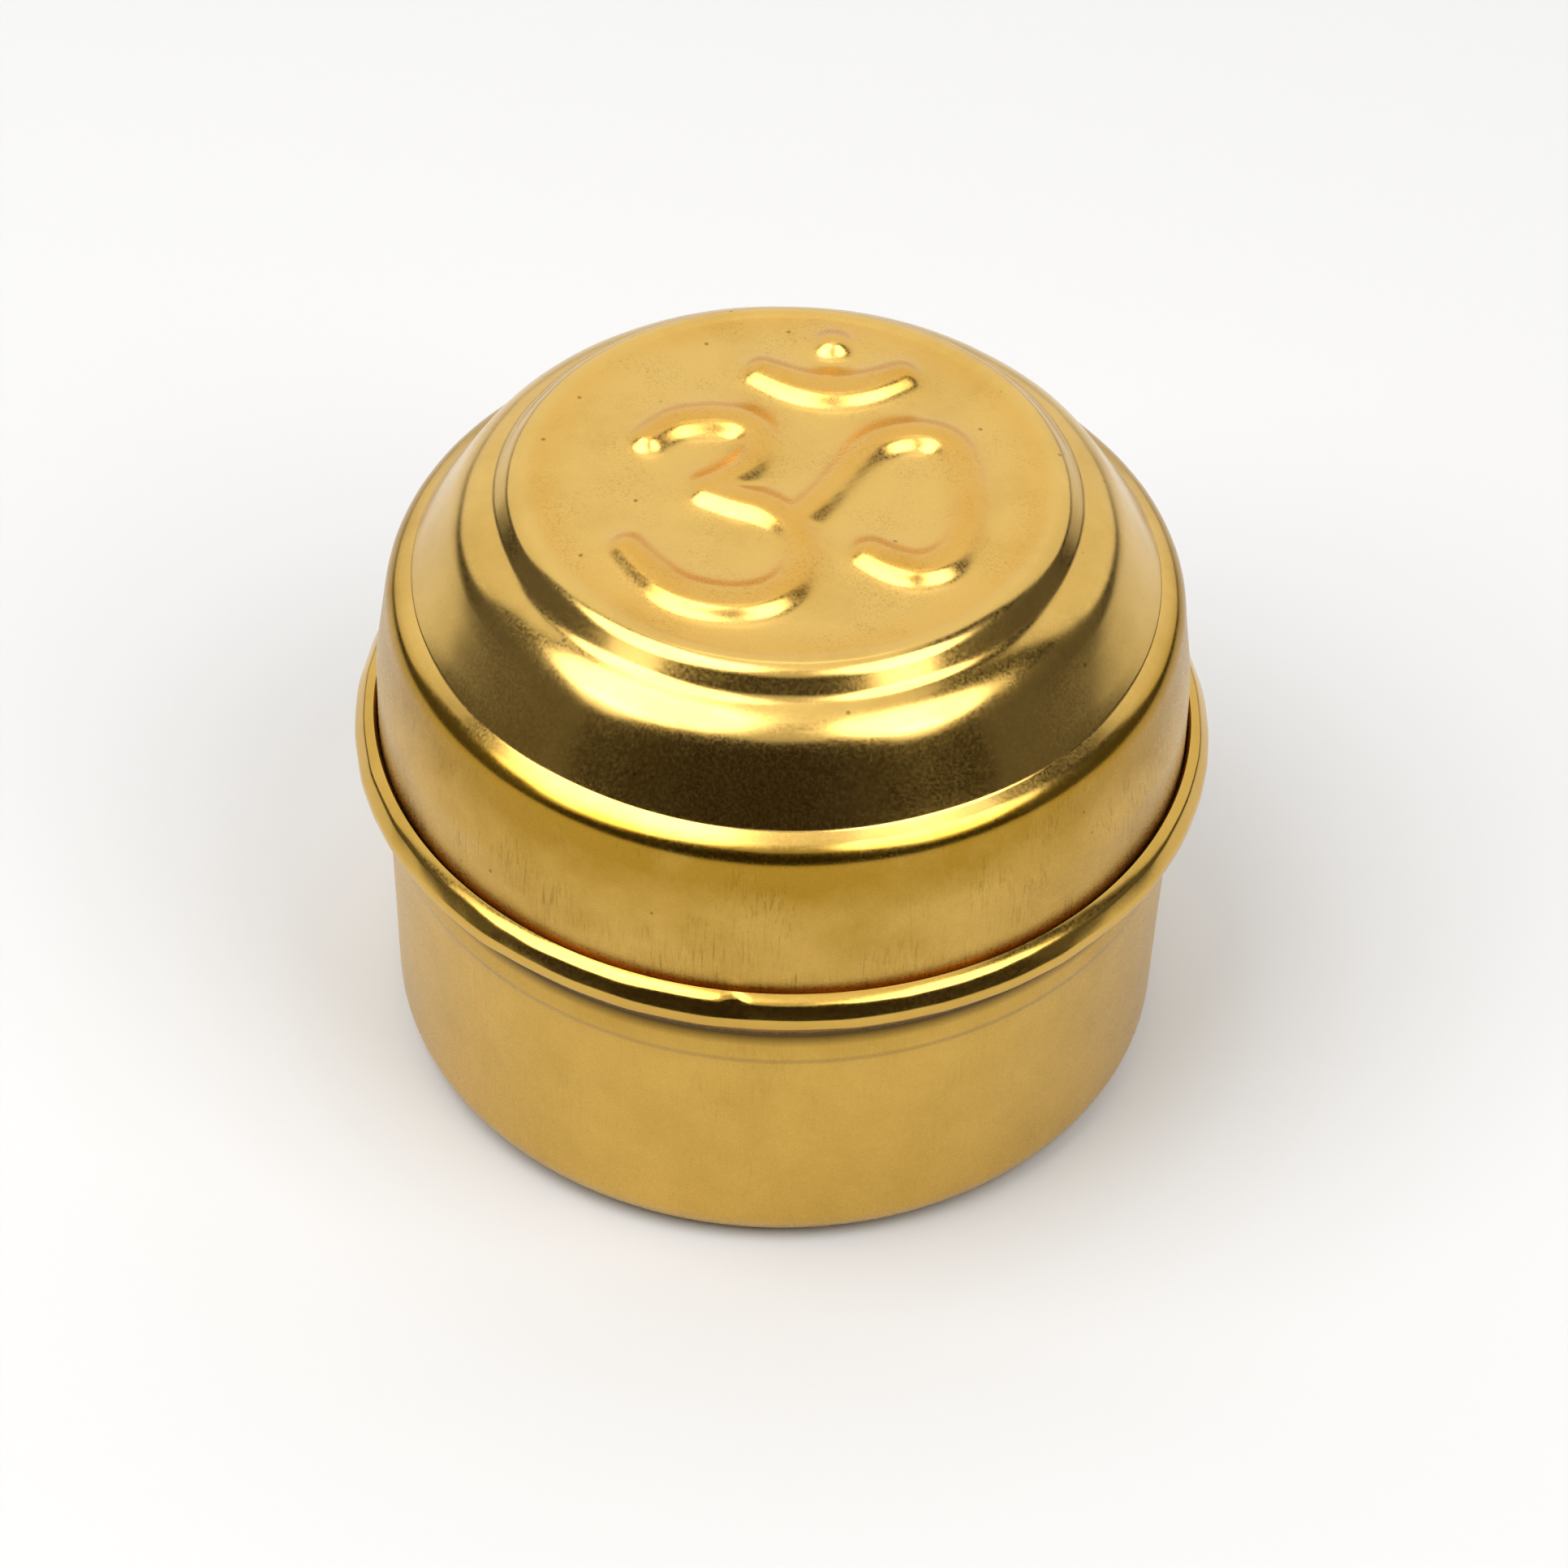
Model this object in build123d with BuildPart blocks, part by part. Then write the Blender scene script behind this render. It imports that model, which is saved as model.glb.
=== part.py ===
"""Kumkum box: a pressed sheet-brass cup with a curled rim, a neck ring and a stepped lift-off lid."""

import math
import os

from build123d import *

# Driving dimensions, in millimetres
sheet = 0.3  # thickness of the brass sheet in all three pieces
box_width = 35.0  # over the curled rim, the widest place

# Cup
wall_height = 12.75  # from the table to the bend where the rim flares out
wall_taper = 0.4  # radius that the wall loses from that bend down to the foot
foot_round = 1.8  # outer round between wall and bottom
rim_overhang = 1.25  # how far the rim stands out from the wall
flare_rise = 1.25  # height of the flare under the curl
flare_bend = 0.3  # outer round where the wall turns into the flare
curl_side = 1.12  # from the flare up to the corner where the lip leans in
curl_foot_bend = 0.45  # outer round between the flare and the curl
curl_round = 1.0  # outer round of the curl under the lip
lip_lean = 66.0  # degrees that the free lip leans in from upright
lip_gap = 0.13  # free gap between the lip's cut edge and the lid

# Neck ring
collar_depth = 1.55  # how far the ring reaches down below the wall's bend
collar_top_gap = 2.25  # the ring ends this far below the lid's ledge
solder_gap = 0.02  # between the ring's foot and the cup's wall
lid_clearance = 0.35  # radial play of the lid on the ring
seat_gap = 0.02  # between the lid's cut edge and the flare that it stands on

# Lid, from the seat up: each step has a rise, an inset towards the axis and a bend
skirt_height = 4.92
shoulder_inset = 0.49
shoulder_rise = 3.86
shoulder_bend = 2.5
ledge_inset = 1.08
ledge_rise = 0.52
ledge_bend = 0.9  # inside the sheet
dome_inset = 2.11
dome_rise = 3.2
dome_foot_bend = 0.3
tread_inset = 1.47
tread_rise = 0.41
dome_top_bend = 2.6
riser_inset = 0.43
riser_rise = 1.12
cove_bend = 0.4
rim_bend = 0.5  # inside the sheet
rim_width = 0.7  # from the riser's corner in to the top panel's slope
panel_slope = 0.15  # width of the little slope from the rim down to the panel
panel_sink = 0.06  # the panel lies this far below the rim
panel_bend = 0.2

# Om sign, pressed up in the top panel: corners of its strokes in hundredths of the panel's radius
sign_height = 0.6
sign_slope = 50.0  # degrees from the panel up the sides of a stroke
stroke_width = 2.5  # over the foot of a stroke
stroke_bend = 1.7
upper_lobe = [(-58, 18), (-49, 36), (-9, 35), (-12, 4), (-33, -10)]
lower_lobe = [(-33, -11), (8, -19), (9, -75), (-43, -76), (-62, -45)]
tail = [(5, -24), (30, 29), (69, 31), (70, -53), (46, -54), (33, -44)]
crescent_under = [(-20, 64), (15, 37), (52, 64)]
crescent_over = [(-15, 73), (15, 69), (46, 73)]
dot_place = (16, 84)
dot_width = 1.5

# Radii and heights that follow
rim_radius = box_width / 2
wall_top_radius = rim_radius - rim_overhang
foot_radius = wall_top_radius - wall_taper
collar_foot_z = wall_height - collar_depth
wall_lean = wall_taper / wall_height
collar_radius = wall_top_radius - wall_lean * collar_depth - sheet - solder_gap
skirt_radius = collar_radius + lid_clearance + sheet

flare_slope = flare_rise / rim_overhang
flare_top_z = wall_height + flare_rise
seat_z = wall_height + (skirt_radius - wall_top_radius) * flare_slope + sheet * math.hypot(1, flare_slope) + seat_gap
collar_top_z = seat_z + skirt_height + shoulder_rise - collar_top_gap

lean = math.radians(lip_lean)
lip_radius = skirt_radius + lip_gap + sheet * math.cos(lean)
curl_top_z = flare_top_z + curl_side
lip_z = curl_top_z + (rim_radius - lip_radius) / math.tan(lean)

os.makedirs("parts", exist_ok=True)

# Cup: the outer line runs from the bottom's centre to the lip, and the sheet lies inside it
with BuildPart() as body_cup:
    with BuildSketch(Plane.XZ):
        with BuildLine():
            FilletPolyline(
                (0, 0),
                (foot_radius, 0),
                (wall_top_radius, wall_height),
                (rim_radius, flare_top_z),
                (rim_radius, curl_top_z),
                (lip_radius, lip_z),
                radius=[foot_round, flare_bend, curl_foot_bend, curl_round],
            )
            offset(amount=sheet, side=Side.LEFT)
        make_face()
    revolve(axis=Axis.Z)
body_cup.part.label = "body_cup"
export_step(body_cup.part, "parts/body_cup.step")

# Neck ring: a plain strip of the sheet, bent round and fixed inside the cup's mouth
with BuildPart() as neck_collar:
    with BuildSketch(Plane.XY.offset(collar_foot_z)):
        Circle(collar_radius)
        Circle(collar_radius - sheet, mode=Mode.SUBTRACT)
    extrude(amount=collar_top_z - collar_foot_z)
    mouth_edges = neck_collar.edges().group_by(Axis.Z)[-1]
    chamfer(mouth_edges, length=sheet / 4)
neck_collar.part.label = "neck_collar"
export_step(neck_collar.part, "parts/neck_collar.step")

# Lid: corners of its outer line from the skirt's cut edge up to the top panel's centre
skirt_foot = Vector(skirt_radius, seat_z)
shoulder = skirt_foot + Vector(0, skirt_height)
ledge_edge = shoulder + Vector(-shoulder_inset, shoulder_rise)
dome_foot = ledge_edge + Vector(-ledge_inset, ledge_rise)
dome_top = dome_foot + Vector(-dome_inset, dome_rise)
cove = dome_top + Vector(-tread_inset, tread_rise)
rim = cove + Vector(-riser_inset, riser_rise)
panel_crown = rim + Vector(-rim_width, 0)
panel_crease = panel_crown + Vector(-panel_slope, -panel_sink)
panel_centre = Vector(0, panel_crease.Y)
sign_unit = panel_crease.X / 100

with BuildPart() as lid:
    with BuildSketch(Plane.XZ):
        with BuildLine():
            FilletPolyline(
                skirt_foot,
                shoulder,
                ledge_edge,
                dome_foot,
                dome_top,
                cove,
                rim,
                panel_crown,
                panel_crease,
                panel_centre,
                radius=[
                    shoulder_bend,
                    sheet + ledge_bend,
                    dome_foot_bend,
                    dome_top_bend,
                    cove_bend,
                    sheet + rim_bend,
                    panel_bend,
                    panel_bend,
                ],
            )
            offset(amount=sheet, side=Side.LEFT)
        make_face()
    revolve(axis=Axis.Z)

    # The sign: its strokes stand up from the panel, and the sheet is as thick there as elsewhere
    feet = []
    for corners in (upper_lobe, lower_lobe, tail):
        with BuildSketch(Plane.XY.offset(panel_crease.Y)) as foot:
            with BuildLine():
                FilletPolyline(*[Vector(corner) * sign_unit for corner in corners], radius=stroke_bend)
                offset(amount=stroke_width / 2)
            make_face()
        extrude(amount=sign_height, taper=90 - sign_slope)
        feet.append(foot)
    with BuildSketch(Plane.XY.offset(panel_crease.Y)) as foot:
        with BuildLine():
            under = ThreePointArc(*[Vector(point) * sign_unit for point in crescent_under])
            over = ThreePointArc(*[Vector(point) * sign_unit for point in crescent_over])
            Line(under @ 0, over @ 0)
            Line(under @ 1, over @ 1)
        make_face()
        with Locations(Vector(dot_place) * sign_unit):
            Circle(dot_width / 2)
    extrude(amount=sign_height, taper=90 - sign_slope)
    feet.append(foot)
    for foot in feet:
        with BuildSketch(Plane.XY.offset(panel_crease.Y - sheet)):
            add(foot.sketch_local)
            offset(amount=-sheet * math.tan(math.radians(sign_slope) / 2))
        extrude(amount=sign_height, taper=90 - sign_slope, mode=Mode.SUBTRACT)
lid.part.label = "lid"
export_step(lid.part, "parts/lid.step")

print(f"cup and neck together {collar_top_z:.2f} mm high, closed box {rim.Y:.2f} mm high to the lid's rim")
print(f"lid alone {rim.Y - seat_z:.2f} mm high and {2 * skirt_radius:.2f} mm wide")
print(f"the sign stands {panel_crease.Y + sign_height - rim.Y:.2f} mm above the lid's rim")
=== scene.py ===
import math

import bpy
from mathutils import Euler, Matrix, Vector


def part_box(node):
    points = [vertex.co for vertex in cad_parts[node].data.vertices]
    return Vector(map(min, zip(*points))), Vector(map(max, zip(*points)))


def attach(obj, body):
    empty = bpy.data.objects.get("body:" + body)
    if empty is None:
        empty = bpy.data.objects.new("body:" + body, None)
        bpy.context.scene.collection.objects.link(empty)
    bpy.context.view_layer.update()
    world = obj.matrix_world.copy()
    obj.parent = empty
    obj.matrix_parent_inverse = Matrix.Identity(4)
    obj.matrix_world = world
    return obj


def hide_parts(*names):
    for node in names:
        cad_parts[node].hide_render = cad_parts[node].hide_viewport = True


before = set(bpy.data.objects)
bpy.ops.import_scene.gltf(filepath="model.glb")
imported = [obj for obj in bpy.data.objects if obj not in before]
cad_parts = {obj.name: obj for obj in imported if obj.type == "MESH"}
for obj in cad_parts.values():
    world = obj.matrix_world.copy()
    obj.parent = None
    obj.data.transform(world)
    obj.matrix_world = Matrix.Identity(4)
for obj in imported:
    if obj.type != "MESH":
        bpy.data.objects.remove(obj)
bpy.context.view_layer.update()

MM = 0.001
AROUND = 448  # steps round the axis of a spun piece
ROW = 0.8  # longest step along a straight stretch of a profile, in mm
BEND_STEP = 8  # degrees for each step of a bend

# Sizes of the pressed sheet, in mm, as in the construction
SHEET = 0.3
WALL_HEIGHT = 12.75
WALL_TAPER = 0.4
FOOT_ROUND = 1.8
RIM_OVERHANG = 1.25
FLARE_RISE = 1.5
FLARE_BEND = 0.3
CURL_SIDE = 0.38
CURL_FOOT_BEND = 0.25
CURL_SLOPE = (0.35, 0.61)  # inset and rise of the curl between its side and its lip
CURL_ROUND = 0.5
LIP_LEAN = math.radians(60)
LIP_GAP = 0.05
RING_MARK = 0.07  # how far the neck ring inside has pushed the wall out
RING_BEND = 0.5
LIP_LOW = 14.9  # the inside of the cup is stained below this height, under the lip

# A small dent in the front of the rim
DENT_PLACE = (-1.55, -17.2, 15.0)
DENT_PUSH = (0.03, 0.12, -0.03)
DENT_RADIUS = 0.25
DENT_FADE = 0.4  # how far the dent runs out round it

# Steps of the lid from the seat up: inset towards the axis, rise, and the bend at its start
SKIRT_HEIGHT = 4.8
SEAT_PLAY = 0.1  # keeps the lid's cut edge clear of the rim's flare
LID_STEPS = [
    (0.49, 3.88, 2.5),  # shoulder
    (1.0, 0.5, 1.2),  # ledge
    (2.0, 3.3, 0.3),  # dome
    (1.26, 0.5, 2.8),  # tread
    (0.79, 1.05, 0.95),  # riser
    (0.55, 0.0, 1.0),  # rim
    (0.25, -0.06, 0.2),  # slope down to the panel
    (0.3, 0.0, 0.2),  # edge of the panel
]

# Radii and heights that come from the frame, in mm
rim_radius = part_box("body_cup")[1].x / MM
skirt_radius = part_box("lid")[1].x / MM
seat_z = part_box("lid")[0].z / MM
collar_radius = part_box("neck_collar")[1].x / MM
collar_foot_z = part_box("neck_collar")[0].z / MM
collar_top_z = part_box("neck_collar")[1].z / MM
panel_z = seat_z + SKIRT_HEIGHT + sum(rise for inset, rise, bend in LID_STEPS)

# The raised sign on the panel: each stroke is a line of (x, y, half width of its flat crest), in mm
SIGN_HEIGHT = 0.58
SIGN_RAMP = 2.3  # from the crest out to the foot of the slope
SIGN_SLOPE = [  # share of the ramp from the crest, and share of the height there
    (0.1, 0.95),
    (0.2, 0.76),
    (0.3, 0.5),
    (0.4, 0.29),
    (0.5, 0.17),
    (0.65, 0.07),
    (0.8, 0.015),
]
SIGN_LEAN = 0.3  # how far the crests lean to the front, which leaves the back slopes longer
SIGN_DOT = [(1.54, 8.36, 0.03), (1.64, 8.36, 0.03)]
SIGN_CRESCENT = [
    (-1.24, 6.48, 0.06),
    (0.0, 5.71, 0.21),
    (1.59, 5.34, 0.27),
    (3.17, 5.71, 0.21),
    (4.37, 6.48, 0.06),
]
SIGN_THREE_TOP = [
    (-5.68, 2.09, 0.03),
    (-4.94, 3.07, 0.12),
    (-3.36, 3.48, 0.18),
    (-1.88, 3.38, 0.18),
    (-1.09, 2.35, 0.06),
    (-1.33, 1.07, 0.03),
    (-2.17, -0.06, 0.06),
    (-3.15, -0.82, 0.12),
]
SIGN_THREE_FOOT = [
    (-3.15, -0.93, 0.12),
    (-2.16, -1.44, 0.15),
    (-0.88, -1.79, 0.15),
    (0.29, -2.91, 0.09),
    (0.73, -4.53, 0.03),
    (0.34, -6.25, 0.12),
    (-0.98, -7.45, 0.24),
    (-2.73, -7.55, 0.27),
    (-4.4, -6.95, 0.21),
    (-5.48, -5.64, 0.12),
    (-6.27, -4.53, 0.03),
]
SIGN_TAIL = [
    (0.2, -2.71, 0.06),
    (1.28, -1.39, 0.03),
    (2.37, 0.76, 0.03),
    (3.36, 2.3, 0.12),
    (4.94, 2.97, 0.15),
    (6.42, 2.5, 0.09),
    (7.05, 0.55, 0.03),
    (7.18, -1.69, 0.03),
    (6.86, -3.82, 0.06),
    (5.87, -5.14, 0.21),
    (4.5, -5.29, 0.21),
    (3.23, -4.38, 0.06),
]

# Camera, from the photograph: 1932 pixels wide and high
IMAGE_WIDTH = 1932
SENSOR_WIDTH = 36.0
CAMERA_ELEVATION = math.radians(43)
CAMERA_ROLL = math.radians(1.75)
CAMERA_DISTANCE = 250  # mm, from the middle of the rim's ring
PIXELS_PER_MM = 29.97  # at the middle of the rim's ring
MIDDLE_PIXEL = (963.4, 898.0)  # where that middle is seen
MIDDLE_Z = 14.0


def linear(code):
    """Linear red, green, blue and alpha of an sRGB hex colour such as C9A24B."""
    channels = [int(code[i : i + 2], 16) / 255 for i in (0, 2, 4)]
    return [c / 12.92 if c <= 0.04045 else ((c + 0.055) / 1.055) ** 2.4 for c in channels] + [1.0]


def fade(value, start, end):
    """0 at the start and before it, 1 at the end and past it, even between."""
    return min(1.0, max(0.0, (value - start) / (end - start)))


def add(tree, kind, settings=None, links=None):
    """Adds a node, sets its properties and unlinked inputs, and links the rest to other nodes' outputs."""
    node = tree.nodes.new(kind)
    for key, value in (settings or {}).items():
        if isinstance(key, str) and hasattr(node, key):
            setattr(node, key, value)
        else:
            node.inputs[key].default_value = value
    for key, socket in (links or {}).items():
        tree.links.new(socket, node.inputs[key])
    return node


# Shaping by hand


def finish_modifiers(piece):
    """Applies the piece's modifiers in order."""
    bpy.ops.object.select_all(action="DESELECT")
    piece.select_set(True)
    bpy.context.view_layer.objects.active = piece
    for name in [m.name for m in piece.modifiers]:
        bpy.ops.object.modifier_apply(modifier=name)


def extrude_to(start, end):
    """Draws the wire on from start to end in even steps."""
    steps = max(1, math.ceil((end - start).length / (ROW * MM)))
    for _ in range(steps):
        bpy.ops.mesh.extrude_region_move(TRANSFORM_OT_translate={"value": (end - start) / steps})


def drawn_profile(name, corners, bends):
    """A wire through the corners, given in mm out from the axis and up, with a round bend at each inner corner."""
    points = [Vector((r * MM, 0, z * MM)) for r, z in corners]
    bpy.ops.object.select_all(action="DESELECT")
    bpy.ops.mesh.primitive_plane_add(size=MM, location=points[0])
    piece = bpy.context.object
    piece.name = name
    bpy.ops.object.transform_apply(location=True, rotation=False, scale=False)
    bpy.ops.object.mode_set(mode="EDIT")
    bpy.ops.mesh.select_all(action="SELECT")
    bpy.ops.mesh.merge(type="CENTER")
    at = points[0]
    for before, corner, after, bend in zip(points, points[1:], points[2:], bends):
        arrive = (corner - before).normalized()
        leave = (after - corner).normalized()
        turn = arrive.angle(leave)
        side = -math.copysign(1, arrive.cross(leave).y)
        reach = bend * MM * math.tan(turn / 2)
        bend_start = corner - arrive * reach
        centre = bend_start + Vector((-arrive.z, 0, arrive.x)) * side * bend * MM
        extrude_to(at, bend_start)
        bpy.ops.mesh.spin(
            steps=max(2, round(math.degrees(turn) / BEND_STEP)),
            angle=turn,
            center=centre,
            axis=(0, side, 0),
        )
        at = corner + leave * reach
    extrude_to(at, points[-1])
    return piece


def spin_round(piece):
    """Spins the drawn wire round the box's axis into one skin that faces outwards."""
    bpy.ops.mesh.select_all(action="SELECT")
    bpy.ops.mesh.spin(steps=AROUND, angle=2 * math.pi, center=(0, 0, 0), axis=(0, 0, 1))
    bpy.ops.mesh.select_all(action="SELECT")
    bpy.ops.mesh.remove_doubles(threshold=0.001 * MM)
    bpy.ops.mesh.normals_make_consistent(inside=False)
    bpy.ops.object.mode_set(mode="OBJECT")


def wavy(piece, name, wavelength, depth, share):
    """Gives the skin the unevenness of hand-pressed sheet, in mm, as far as the share allows at a height."""
    group = piece.vertex_groups.new(name=name)
    for v in piece.data.vertices:
        group.add([v.index], share(v.co.z / MM), "REPLACE")
    swell = bpy.data.textures.new(name, "CLOUDS")
    swell.noise_scale = wavelength * MM
    swell.noise_depth = 1
    dent = piece.modifiers.new(name, "DISPLACE")
    dent.texture = swell
    dent.texture_coords = "LOCAL"
    dent.strength = depth * MM
    dent.mid_level = 0.5
    dent.vertex_group = group.name


def knock(piece):
    """Pushes the small dent into the piece."""
    place = Vector(DENT_PLACE) * MM
    bpy.ops.object.select_all(action="DESELECT")
    piece.select_set(True)
    bpy.context.view_layer.objects.active = piece
    bpy.ops.object.mode_set(mode="EDIT")
    bpy.ops.mesh.select_mode(type="VERT")
    bpy.ops.mesh.select_all(action="DESELECT")
    bpy.ops.object.mode_set(mode="OBJECT")
    for v in piece.data.vertices:
        v.select = (v.co - place).length < DENT_RADIUS * MM
    bpy.ops.object.mode_set(mode="EDIT")
    bpy.ops.transform.translate(
        value=Vector(DENT_PUSH) * MM,
        use_proportional_edit=True,
        proportional_edit_falloff="SMOOTH",
        proportional_size=DENT_FADE * MM,
    )
    bpy.ops.object.mode_set(mode="OBJECT")


def thicken(piece):
    """Gives the skin the sheet's thickness inwards and takes the sharpness off its cut edges."""
    wall = piece.modifiers.new("sheet", "SOLIDIFY")
    wall.thickness = SHEET * MM
    wall.offset = -1
    wall.use_even_offset = True
    deburr = piece.modifiers.new("deburr", "BEVEL")
    deburr.width = 0.05 * MM
    deburr.segments = 2
    deburr.limit_method = "ANGLE"
    deburr.angle_limit = math.radians(60)
    finish_modifiers(piece)
    bpy.ops.object.shade_smooth_by_angle(angle=math.radians(50))


def mark(piece, middle_z, **amounts):
    """Numbers on each vertex for its finish, from its radius and height in mm and whether it lies inside."""
    middle = Vector((0, 0, middle_z * MM))
    for name, amount in amounts.items():
        layer = piece.data.attributes.new(name, "FLOAT", "POINT")
        for v in piece.data.vertices:
            inside = v.normal.dot(v.co - middle) < 0
            layer.data[v.index].value = amount(v.co.xy.length / MM, v.co.z / MM, inside)


def cup_tarnish(r, z, inside):
    """Tarnishing all over inside, and outside mostly under the rim, where it is also painted shade beneath the flare.
    """
    if inside and z < LIP_LOW:
        return 1
    # tarnishing and painted shade: a deeper colour in a band on the wall under the rim
    return max(0.15, 0.5 * fade(z, 9.8, 12.4) * fade(z, 14.6, 13.9))


def cup_grime(r, z, inside):
    """Painted shade: much in the corner under the rim and some along the ring's line on the wall; and a little darker
    inside.
    """
    if inside and z < LIP_LOW:
        return 0.3
    # painted shade: the dark crease line where the rim's flare overhangs the wall
    under_rim = 0.9 * fade(z, 12.3, 12.6) * fade(z, 13.6, 13.0)
    # painted shade: a dark line along the ring's mark on the wall
    ring_line = 0.35 * fade(abs(z - 11.15), 0.2, 0)
    return max(under_rim, ring_line)


def make_cup():
    """The cup: flat bottom, tapered wall, and a rim that flares out and curls in to a free lip."""
    wall_top = rim_radius - RIM_OVERHANG
    flare_top = WALL_HEIGHT + FLARE_RISE
    side_top = flare_top + CURL_SIDE
    curl_radius, curl_top = rim_radius - CURL_SLOPE[0], side_top + CURL_SLOPE[1]
    lip_radius = skirt_radius + LIP_GAP + SHEET * math.cos(LIP_LEAN)
    lip_z = curl_top + (curl_radius - lip_radius) / math.tan(LIP_LEAN)
    ring_low = wall_top - WALL_TAPER * (1 - (collar_foot_z - 0.2) / WALL_HEIGHT)
    ring_high = wall_top - WALL_TAPER * (1 - (collar_foot_z + 0.1) / WALL_HEIGHT)
    corners = [
        (0, 0),
        (wall_top - WALL_TAPER, 0),
        (ring_low, collar_foot_z - 0.2),
        (ring_high + RING_MARK, collar_foot_z + 0.1),
        (wall_top, WALL_HEIGHT),
        (rim_radius, flare_top),
        (rim_radius, side_top),
        (curl_radius, curl_top),
        (lip_radius, lip_z),
    ]
    bends = [FOOT_ROUND, RING_BEND, RING_BEND, FLARE_BEND, CURL_FOOT_BEND, CURL_ROUND, CURL_ROUND]
    cup = drawn_profile("cup", corners, bends)
    spin_round(cup)
    knock(cup)
    wavy(cup, "wall_swell", 7, 0.06, lambda z: fade(z, 0.5, 3) * fade(z, 11.0, 9.5))
    wavy(cup, "rim_swell", 2.5, 0.12, lambda z: fade(z, 13.2, 14.2) * fade(z, 15.4, 15.0))
    thicken(cup)
    mark(
        cup,
        MIDDLE_Z,
        satin=lambda r, z, inside: 1 if inside else fade(z, 13.7, 12.9),
        tarnish=cup_tarnish,
        grime=cup_grime,
    )
    return cup


def make_collar():
    """The neck ring: a plain strip of sheet with a softened mouth."""
    collar = drawn_profile("neck_ring", [(collar_radius, collar_foot_z), (collar_radius, collar_top_z)], [])
    spin_round(collar)
    thicken(collar)
    mark(
        collar,
        MIDDLE_Z,
        satin=lambda r, z, inside: 1,
        tarnish=lambda r, z, inside: 0.6,
        grime=lambda r, z, inside: 0.2,
    )
    return collar


def sign_ribbons():
    """The flat crests of the sign's strokes, as ribbons at the panel's height, joined in one mesh."""
    ribbons = []
    for stroke in (SIGN_DOT, SIGN_CRESCENT, SIGN_THREE_TOP, SIGN_THREE_FOOT, SIGN_TAIL):
        bpy.ops.object.select_all(action="DESELECT")
        bpy.ops.curve.primitive_nurbs_path_add(location=(0, 0, 0))
        ribbon = bpy.context.object
        path = ribbon.data
        path.splines.clear()
        line = path.splines.new("NURBS")
        line.points.add(len(stroke) - 1)
        for point, (x, y, half) in zip(line.points, stroke):
            point.co = (x * MM, (y + SIGN_LEAN / 2) * MM, panel_z * MM, 1)
            point.radius = half
        line.order_u = min(3, len(stroke))
        line.use_endpoint_u = True
        line.resolution_u = 12
        path.bevel_depth = MM
        bpy.ops.object.convert(target="MESH")
        ribbons.append(bpy.context.object)
    bpy.ops.object.select_all(action="DESELECT")
    for ribbon in ribbons:
        ribbon.select_set(True)
    bpy.context.view_layer.objects.active = ribbons[0]
    bpy.ops.object.join()
    bpy.ops.object.mode_set(mode="EDIT")
    bpy.ops.mesh.select_all(action="SELECT")
    bpy.ops.transform.resize(value=(1, 1, 0), center_override=(0, 0, panel_z * MM))
    bpy.ops.object.mode_set(mode="OBJECT")
    return bpy.context.object


def press_sign(lid, edge):
    """Presses the sign up in the lid's panel, which lies within the edge's radius."""
    raised = lid.vertex_groups.new(name="raised")
    raised.add([v.index for v in lid.data.vertices if v.co.xy.length < edge], 0, "REPLACE")
    ribbons = sign_ribbons()
    press = lid.modifiers.new("press", "VERTEX_WEIGHT_PROXIMITY")
    press.vertex_group = raised.name
    press.target = ribbons
    press.proximity_mode = "GEOMETRY"
    press.proximity_geometry = {"FACE"}
    press.min_dist = 0
    press.max_dist = SIGN_RAMP * MM
    press.falloff_type = "CURVE"
    slope = press.map_curve.curves[0]
    slope.points[0].location = (0, 1)
    slope.points[1].location = (1, 0)
    for share, height in SIGN_SLOPE:
        slope.points.new(share, height)
    press.map_curve.update()
    lift = lid.modifiers.new("lift", "DISPLACE")
    lift.vertex_group = raised.name
    lift.direction = "Z"
    lift.mid_level = 0
    lift.strength = SIGN_HEIGHT * MM
    lean = lid.modifiers.new("lean", "DISPLACE")
    lean.vertex_group = raised.name
    lean.direction = "Y"
    lean.mid_level = 0
    lean.strength = -SIGN_LEAN * MM
    finish_modifiers(lid)
    relief = lid.data.attributes.new("relief", "FLOAT", "POINT")
    for v in lid.data.vertices:
        relief.data[v.index].value = next((g.weight for g in v.groups), 0)
    bpy.data.objects.remove(ribbons)


def lid_tarnish(r, z, inside):
    """Tarnishing all over inside, a little on the steps, and more on the skirt; the skirt's deeper colour, most of all
    at its top, and its lighter colour at its foot are painted shade.
    """
    if inside:
        return 1
    # painted shade: the skirt made deeper in colour towards its top and lighter towards its foot, over even tarnishing
    skirt = (0.6 + 0.4 * fade(z, 19.0, 21.0) - 0.2 * fade(z, 17, 15.2)) * fade(z, 22.6, 22.2)
    return max(0.2 * fade(r, 10.6, 11.2), skirt)


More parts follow.
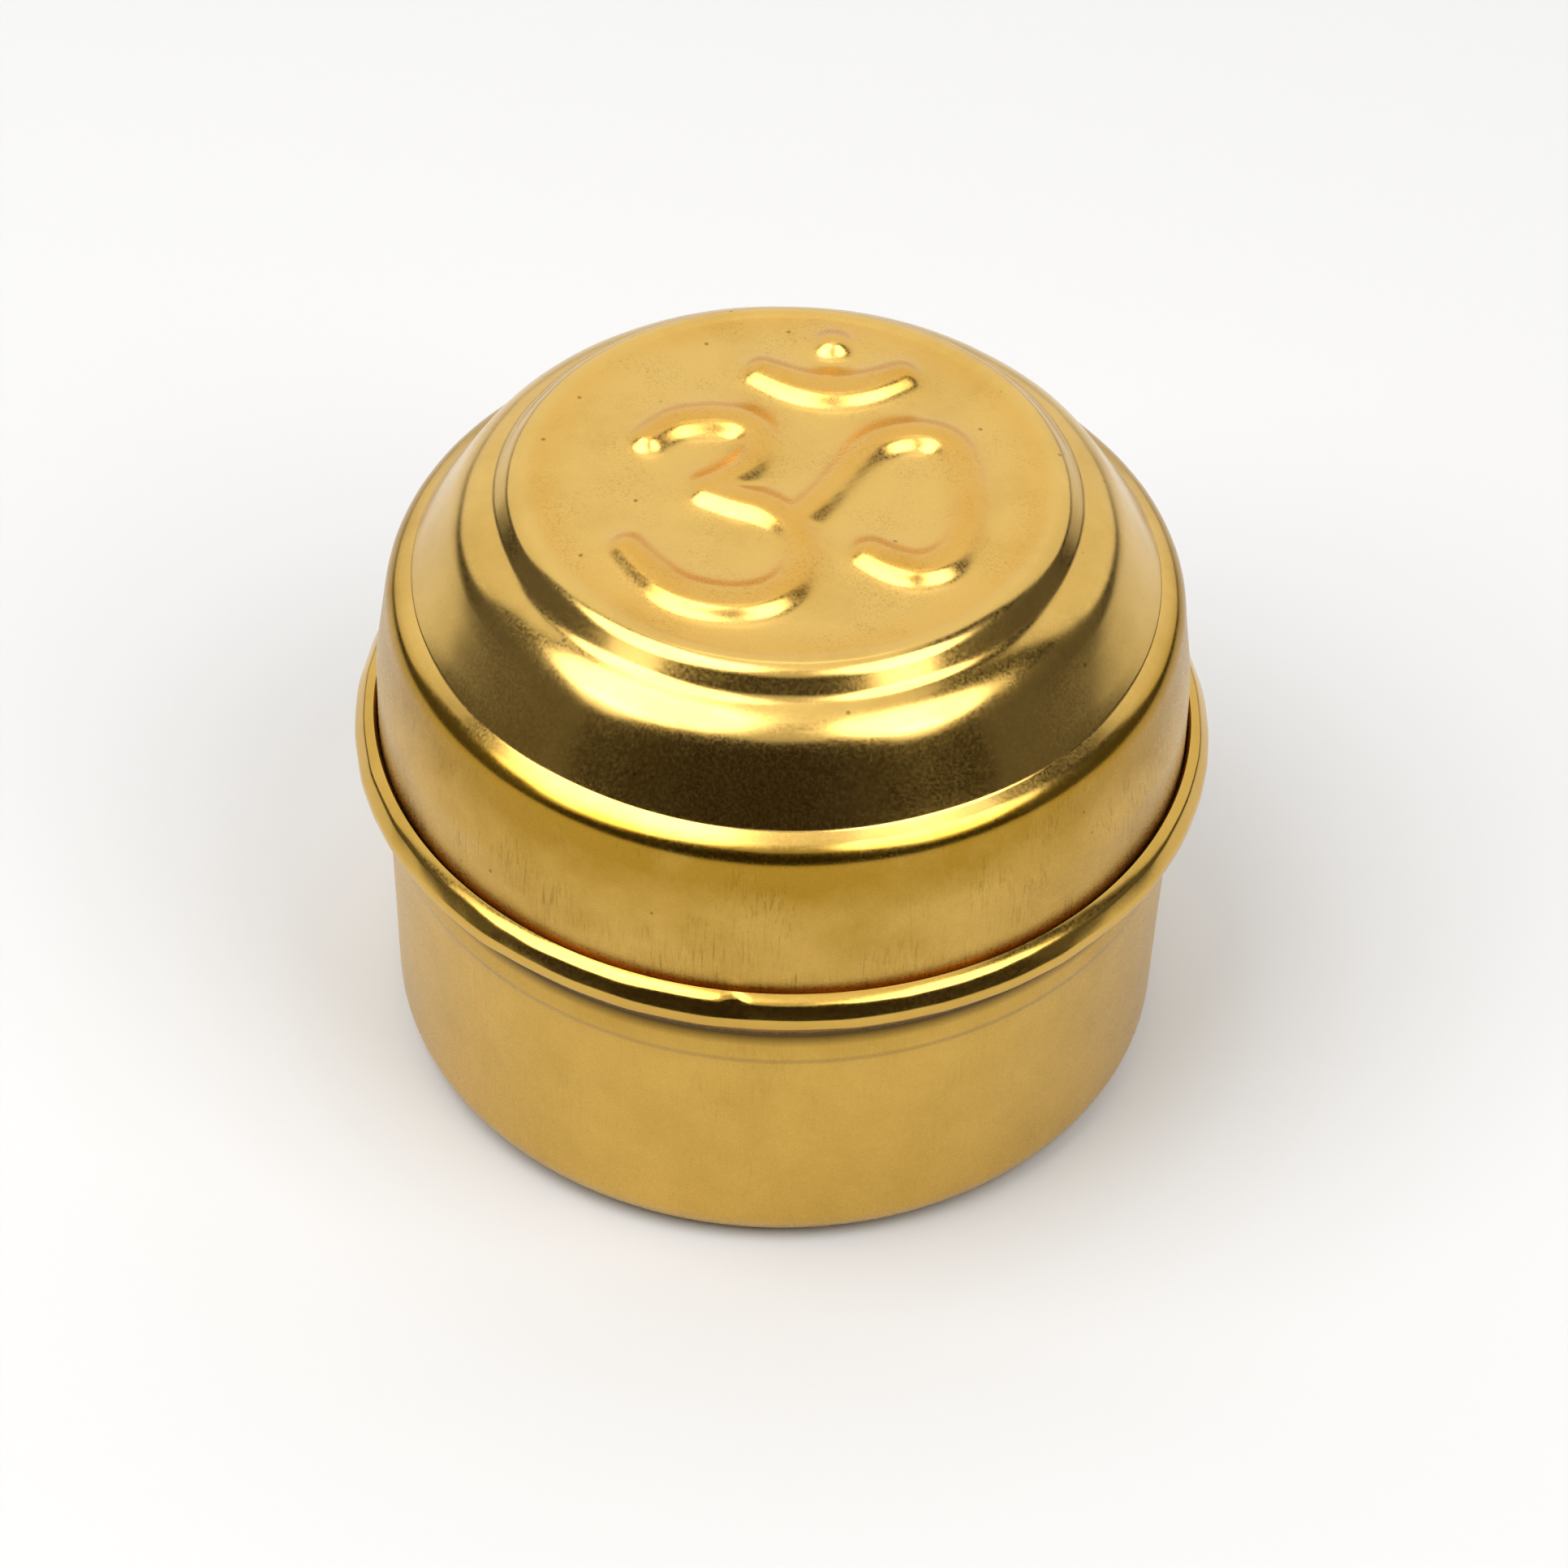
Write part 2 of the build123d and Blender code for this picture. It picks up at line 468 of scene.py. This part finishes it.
def make_lid():
    """The lid: skirt, shoulder, ledge, dome, step and a flat panel with the sign pressed up in it."""
    corners = [(skirt_radius, seat_z + SEAT_PLAY), (skirt_radius, seat_z + SKIRT_HEIGHT)]
    for inset, rise, bend in LID_STEPS:
        r, z = corners[-1]
        corners.append((r - inset, z + rise))
    lid = drawn_profile("lid_shell", corners, [bend for inset, rise, bend in LID_STEPS])
    spin_round(lid)

    # The flat panel is a grid of even squares inside the rim
    panel_radius = corners[-1][0]
    edge = (panel_radius + 0.01) * MM
    bpy.ops.object.mode_set(mode="EDIT")
    bpy.ops.mesh.select_mode(type="EDGE")
    bpy.ops.mesh.select_all(action="DESELECT")
    bpy.ops.object.mode_set(mode="OBJECT")
    for e in lid.data.edges:
        e.select = all(lid.data.vertices[i].co.xy.length < edge for i in e.vertices)
    bpy.ops.object.mode_set(mode="EDIT")
    bpy.ops.mesh.fill_grid(span=AROUND // 4)
    bpy.ops.mesh.select_all(action="SELECT")
    bpy.ops.mesh.normals_make_consistent(inside=False)
    bpy.ops.object.mode_set(mode="OBJECT")

    press_sign(lid, edge)
    wavy(lid, "lid_swell", 6, 0.09, lambda z: fade(z, 15.5, 18))
    wavy(lid, "lid_ripple", 2.5, 0.025, lambda z: fade(z, 15.5, 18))
    thicken(lid)
    mark(
        lid,
        MIDDLE_Z,
        satin=lambda r, z, inside: 1 if inside else max(fade(z, 22.2, 21.2), 0.75 * fade(r, 10.6, 9.9)),
        tarnish=lid_tarnish,
        amber=lambda r, z, inside: 0 if inside else 0.5 * fade(r, 8.6, 9.9) * fade(r, 10.6, 10.1),
        grime=lambda r, z, inside: 0.3 if inside else 0,
    )
    return lid


# Materials


def pressed_brass(name, fresh, tarnished, polish, satin, scratches):
    """Pressed sheet brass, rubbed and not lacquered: mirror-bright where it was pressed round, softer where it was
    rubbed flat, and deeper in colour where fingers and powder have darkened it with tarnishing; painted shade darkens
    its corners and the top of the lid's skirt, and a painted amber reflection lies on the raised sign."""
    material = bpy.data.materials.new(name)
    material.use_nodes = True
    tree = material.node_tree
    shader = tree.nodes["Principled BSDF"]
    shader.inputs["Metallic"].default_value = 1.0
    place = add(tree, "ShaderNodeTexCoord").outputs["Object"]
    rubbed = add(tree, "ShaderNodeAttribute", {"attribute_name": "satin"}).outputs["Fac"]
    tarnish_and_shade_share = add(tree, "ShaderNodeAttribute", {"attribute_name": "tarnish"}).outputs["Fac"]
    shade_and_grime_share = add(tree, "ShaderNodeAttribute", {"attribute_name": "grime"}).outputs["Fac"]
    relief = add(tree, "ShaderNodeAttribute", {"attribute_name": "relief"}).outputs["Fac"]
    amber = add(tree, "ShaderNodeAttribute", {"attribute_name": "amber"}).outputs["Fac"]

    # Tarnish and painted shade, broken into clouds about 4 mm across
    cloud = add(tree, "ShaderNodeTexNoise", {"Scale": 1 / (4 * MM), "Detail": 6, "Roughness": 0.62}, {"Vector": place})
    drift = add(
        tree,
        "ShaderNodeMapRange",
        {"From Min": 0.3, "From Max": 0.7, "To Min": -0.2, "To Max": 0.2},
        {"Value": cloud.outputs["Fac"]},
    )
    share = add(tree, "ShaderNodeMath", {"operation": "ADD", "use_clamp": True}, {0: tarnish_and_shade_share, 1: drift.outputs["Result"]})
    colour = add(
        tree,
        "ShaderNodeMix",
        {"data_type": "RGBA", 6: linear(fresh), 7: linear(tarnished)},
        {0: share.outputs["Value"]},
    )

    # Painted amber reflection on the raised sign, strongest on its crests, and an amber tint round the panel's edge
    amber_reflection_and_tint = add(tree, "ShaderNodeMath", {"operation": "MULTIPLY_ADD", 1: 0.8}, {0: relief, 2: amber})
    amber_reflection_and_tint = add(tree, "ShaderNodeMath", {"operation": "MULTIPLY"}, {0: amber_reflection_and_tint.outputs["Value"], 1: cloud.outputs["Fac"]})
    colour = add(
        tree,
        "ShaderNodeMix",
        {"data_type": "RGBA", 7: linear("D9992C")},
        {0: amber_reflection_and_tint.outputs["Value"], 6: colour.outputs[2]},
    )

    # Upright scratches about 0.1 mm wide and 1.5 mm long, in patches of the rubbed faces
    drawn_out = add(
        tree, "ShaderNodeMapping", {"Scale": (1 / (0.11 * MM), 1 / (0.11 * MM), 1 / (1.5 * MM))}, {"Vector": place}
    )
    scratch = add(
        tree, "ShaderNodeTexNoise", {"Scale": 1, "Detail": 4, "Roughness": 0.7}, {"Vector": drawn_out.outputs["Vector"]}
    )
    scratched = add(
        tree,
        "ShaderNodeMapRange",
        {"From Min": 0.5, "From Max": 0.72, "To Max": scratches},
        {"Value": scratch.outputs["Fac"]},
    )
    patch = add(tree, "ShaderNodeTexNoise", {"Scale": 1 / (2.5 * MM), "Detail": 3}, {"Vector": place})
    patchy = add(
        tree, "ShaderNodeMapRange", {"From Min": 0.44, "From Max": 0.66}, {"Value": patch.outputs["Fac"]}
    )
    scratched = add(
        tree, "ShaderNodeMath", {"operation": "MULTIPLY"}, {0: scratched.outputs["Result"], 1: patchy.outputs["Result"]}
    )
    scratch_share = add(
        tree, "ShaderNodeMath", {"operation": "MULTIPLY"}, {0: scratched.outputs["Value"], 1: rubbed}
    )
    colour = add(
        tree,
        "ShaderNodeMix",
        {"data_type": "RGBA", 7: linear("5A4015")},
        {0: scratch_share.outputs["Value"], 6: colour.outputs[2]},
    )

    # Pits about 0.15 mm across, in a quarter of the cells
    pit = add(tree, "ShaderNodeTexVoronoi", {"Scale": 1 / (1.2 * MM)}, {"Vector": place})
    pitted = add(
        tree, "ShaderNodeMapRange", {"From Min": 0.1, "From Max": 0.05}, {"Value": pit.outputs["Distance"]}
    )
    chosen = add(
        tree, "ShaderNodeMath", {"operation": "GREATER_THAN", 1: 0.72}, {0: pit.outputs["Color"]}
    )
    pit_share = add(
        tree, "ShaderNodeMath", {"operation": "MULTIPLY"}, {0: pitted.outputs["Result"], 1: chosen.outputs["Value"]}
    )
    pit_share = add(tree, "ShaderNodeMath", {"operation": "MULTIPLY", 1: scratches}, {0: pit_share.outputs["Value"]})
    colour = add(
        tree,
        "ShaderNodeMix",
        {"data_type": "RGBA", 7: linear("4A3312")},
        {0: pit_share.outputs["Value"], 6: colour.outputs[2]},
    )

    # Painted shade in the corner under the rim and along the ring's line, and a darker colour inside
    colour = add(
        tree,
        "ShaderNodeMix",
        {"data_type": "RGBA", 7: linear("3A2A10")},
        {0: shade_and_grime_share, 6: colour.outputs[2]},
    )
    tree.links.new(colour.outputs[2], shader.inputs["Base Color"])

    # Fine rubbed grain about 0.12 mm across
    grain = add(tree, "ShaderNodeTexNoise", {"Scale": 1 / (0.12 * MM), "Detail": 3}, {"Vector": place})
    dullness = add(
        tree, "ShaderNodeMapRange", {"To Min": polish, "To Max": satin}, {"Value": rubbed}
    )
    uneven = add(
        tree,
        "ShaderNodeMapRange",
        {"From Min": 0.3, "From Max": 0.7, "To Min": 0.8, "To Max": 1.25},
        {"Value": grain.outputs["Fac"]},
    )
    rough = add(
        tree, "ShaderNodeMath", {"operation": "MULTIPLY"}, {0: dullness.outputs["Result"], 1: uneven.outputs["Result"]}
    )
    tree.links.new(rough.outputs["Value"], shader.inputs["Roughness"])
    grain_depth = add(tree, "ShaderNodeMapRange", {"To Min": 0.03, "To Max": 0.045}, {"Value": rubbed})
    bump = add(
        tree,
        "ShaderNodeBump",
        {"Distance": 0.01 * MM},
        {"Height": grain.outputs["Fac"], "Strength": grain_depth.outputs["Result"]},
    )
    tree.links.new(bump.outputs["Normal"], shader.inputs["Normal"])
    return material


def paint(name, code):
    """Plain matt paper for the studio."""
    material = bpy.data.materials.new(name)
    material.use_nodes = True
    shader = material.node_tree.nodes["Principled BSDF"]
    shader.inputs["Base Color"].default_value = linear(code)
    shader.inputs["Roughness"].default_value = 0.9
    return material


def dress(piece, material, body, slot, *nodes):
    """Gives the piece its finish and its place in the frame."""
    piece.data.materials.clear()
    piece.data.materials.append(material)
    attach(piece, body)
    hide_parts(*nodes)


# Studio


def make_floor():
    """A wide pale sheet of paper under the box."""
    bpy.ops.object.select_all(action="DESELECT")
    bpy.ops.mesh.primitive_plane_add(size=4)
    floor = bpy.context.object
    floor.name = "studio_floor"
    floor.data.materials.append(paint("white_paper", "CECECE"))


def make_softbox(name, place, size, glow):
    """A soft light panel that faces the box; its glow is what a mirror would show of it, with white paper as 1."""
    lamp = bpy.data.lights.new(name, "AREA")
    lamp.shape = "ELLIPSE"
    lamp.size, lamp.size_y = size
    lamp.energy = glow * math.pi * size[0] * size[1] * math.pi / 4
    panel = bpy.data.objects.new(name, lamp)
    bpy.context.scene.collection.objects.link(panel)
    panel.location = place
    panel.rotation_euler = (Vector(place) - Vector((0, 0, MIDDLE_Z * MM))).to_track_quat("Z", "Y").to_euler()
    panel.visible_camera = False


def make_room():
    """A dim room for the brass to mirror, behind a pale surround."""
    world = bpy.data.worlds.new("studio")
    world.use_nodes = True
    tree = world.node_tree
    room = add(
        tree,
        "ShaderNodeMix",
        {"data_type": "RGBA", 6: linear("2B2314"), 7: linear("ECEAE6")},
        {0: add(tree, "ShaderNodeLightPath").outputs["Is Camera Ray"]},
    )
    tree.links.new(room.outputs[2], tree.nodes["Background"].inputs["Color"])
    bpy.context.scene.world = world


def make_camera():
    """The photograph's view: the middle of the rim's ring falls on its pixel, at its scale."""
    data = bpy.data.cameras.new("camera")
    data.sensor_width = SENSOR_WIDTH
    data.lens = PIXELS_PER_MM * CAMERA_DISTANCE / IMAGE_WIDTH * SENSOR_WIDTH
    data.clip_start = 0.01
    data.shift_x = 0.5 - MIDDLE_PIXEL[0] / IMAGE_WIDTH
    data.shift_y = MIDDLE_PIXEL[1] / IMAGE_WIDTH - 0.5
    camera = bpy.data.objects.new("camera", data)
    bpy.context.scene.collection.objects.link(camera)
    turn = Euler((math.pi / 2 - CAMERA_ELEVATION, 0, 0)).to_matrix()
    turn = turn @ Euler((0, 0, CAMERA_ROLL)).to_matrix()
    camera.location = (Vector((0, 0, MIDDLE_Z)) + turn.col[2] * CAMERA_DISTANCE) * MM
    camera.rotation_euler = turn.to_euler()
    bpy.context.scene.camera = camera


satin = pressed_brass(
    "satin_pressed_brass", fresh="D4AC54", tarnished="B08830", polish=0.18, satin=0.3, scratches=0.15
)
polished = pressed_brass(
    "polished_pressed_brass", fresh="E2BB68", tarnished="AC842A", polish=0.19, satin=0.3, scratches=0.55
)
dress(make_cup(), satin, "base", "satin_brass", "body_cup")
dress(make_collar(), satin, "base", "satin_brass", "neck_collar")
dress(make_lid(), polished, "lid", "polished_brass", "lid")

make_floor()
make_softbox("softbox_left", (-0.234, -0.125, 0.424), (0.43, 0.43), 4.6)
make_softbox("softbox_right", (0.246, -0.186, 0.394), (0.35, 0.35), 4.6)
make_softbox("softbox_left_low", (-0.33, -0.2, 0.28), (0.18, 0.18), 1.6)
make_softbox("softbox_right_low", (0.28, -0.28, 0.28), (0.16, 0.16), 1.6)
make_softbox("softbox_front", (0.0, -0.265, 0.438), (0.4, 0.27), 0.65)
make_softbox("softbox_top", (0.0, 0.02, 0.7), (0.56, 0.5), 1.1)
make_softbox("softbox_back", (0.0, 0.55, 0.42), (2.4, 1.05), 1.0)
make_softbox("card_left", (-0.6, 0.0, 0.2), (0.7, 0.4), 0.1)
make_softbox("card_right", (0.6, 0.0, 0.2), (0.7, 0.4), 0.1)
make_room()
bpy.context.scene.view_settings.view_transform = "Standard"
make_camera()
